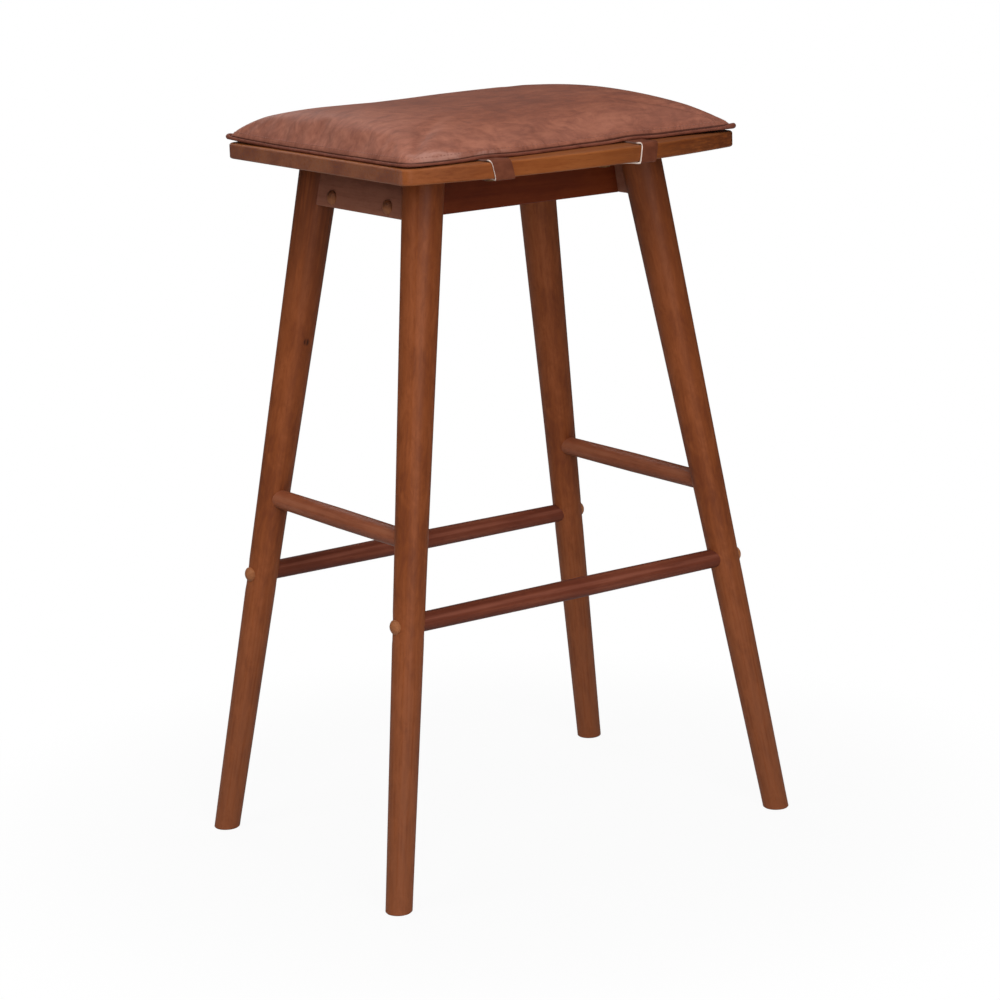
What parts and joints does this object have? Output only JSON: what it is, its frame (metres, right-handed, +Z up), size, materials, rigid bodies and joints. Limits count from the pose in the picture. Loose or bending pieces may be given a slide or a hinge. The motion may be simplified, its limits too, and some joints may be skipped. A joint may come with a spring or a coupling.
{
  "type": "bar stool",
  "caption": "Backless bar stool with round splayed wooden legs and stretchers, a bowed seat board and a crowned, piped leather cushion held by straps with press studs.",
  "frame": {"origin": "on the floor, centred under the seat: bottom centre of the bounding box", "axes": "+Z up from the floor to the cushion's crown, +X along the longer side of the seat to the right, +Y across the seat to the back"},
  "size_m": [0.516, 0.382, 0.7724],
  "materials": {
    "leg_wood": "walnut-brown stain under satin lacquer, fine grain along the leg",
    "rail_wood": "darker red-brown stain under satin lacquer, grain along the rail",
    "board_wood": "walnut-brown stain, striped grain along the seat, arrises worn paler",
    "cap_wood": "paler turned wood, satin lacquer",
    "dowel_wood": "bare beech",
    "foam": null,
    "cushion_leather": "waxed pull-up hide, mottled, with paler rubbed places",
    "piping_leather": "same hide over a cord, darker in the seam",
    "strap_leather": "smooth strap hide with pale raw edges",
    "fastener_brass": "aged brass press fasteners",
    "insert_brass": "plain brass threaded inserts",
    "bolt_steel": "zinc-plated bolts and screws"
  },
  "bodies": {
    "stool": {"cushion_bottom_panel": "cushion_leather", "cushion_foam": "foam", "cushion_piping": "piping_leather", "cushion_top_panel": "cushion_leather", "leg_back_left": "leg_wood", "leg_back_right": "leg_wood", "leg_front_left": "leg_wood", "leg_front_right": "leg_wood", "long_rail_back": "rail_wood", "long_rail_front": "rail_wood", "long_stretcher_back": "rail_wood", "long_stretcher_front": "rail_wood", "press_studs": "fastener_brass", "rail_bolt_caps": "cap_wood", "rail_bolts": "bolt_steel", "rail_dowels": "dowel_wood", "rail_inserts": "insert_brass", "seat_board": "board_wood", "seat_screws": "bolt_steel", "side_rail_left": "rail_wood", "side_rail_right": "rail_wood", "side_stretcher_left": "rail_wood", "side_stretcher_right": "rail_wood", "strap_back_left": "strap_leather", "strap_back_right": "strap_leather", "strap_front_left": "strap_leather", "strap_front_right": "strap_leather", "stretcher_bolt_caps": "cap_wood", "stretcher_bolts": "bolt_steel", "stretcher_inserts": "insert_brass"},
    "back_left_strap_tail": {"strap_tail_back_left": "strap_leather", "press_socket_back_left": "fastener_brass"},
    "front_left_strap_tail": {"strap_tail_front_left": "strap_leather", "press_socket_front_left": "fastener_brass"},
    "back_right_strap_tail": {"strap_tail_back_right": "strap_leather", "press_socket_back_right": "fastener_brass"},
    "front_right_strap_tail": {"strap_tail_front_right": "strap_leather", "press_socket_front_right": "fastener_brass"}
  },
  "joints": [
    {"name": "back_left_strap_fold", "type": "hinge", "parent": "stool", "child": "back_left_strap_tail", "pos_m": [-0.1008, 0.18678, 0.7165], "axis": [0.9917, 0.1288, 0], "range_deg": [0, 100]},
    {"name": "front_left_strap_fold", "type": "hinge", "parent": "stool", "child": "front_left_strap_tail", "pos_m": [-0.1008, -0.18678, 0.7165], "axis": [-0.9917, 0.1288, 0], "range_deg": [0, 100]},
    {"name": "back_right_strap_fold", "type": "hinge", "parent": "stool", "child": "back_right_strap_tail", "pos_m": [0.07071, 0.1901, 0.7165], "axis": [0.9959, -0.0903, 0], "range_deg": [0, 100]},
    {"name": "front_right_strap_fold", "type": "hinge", "parent": "stool", "child": "front_right_strap_tail", "pos_m": [0.07071, -0.1901, 0.7165], "axis": [-0.9959, -0.0903, 0], "range_deg": [0, 100]}
  ]
}
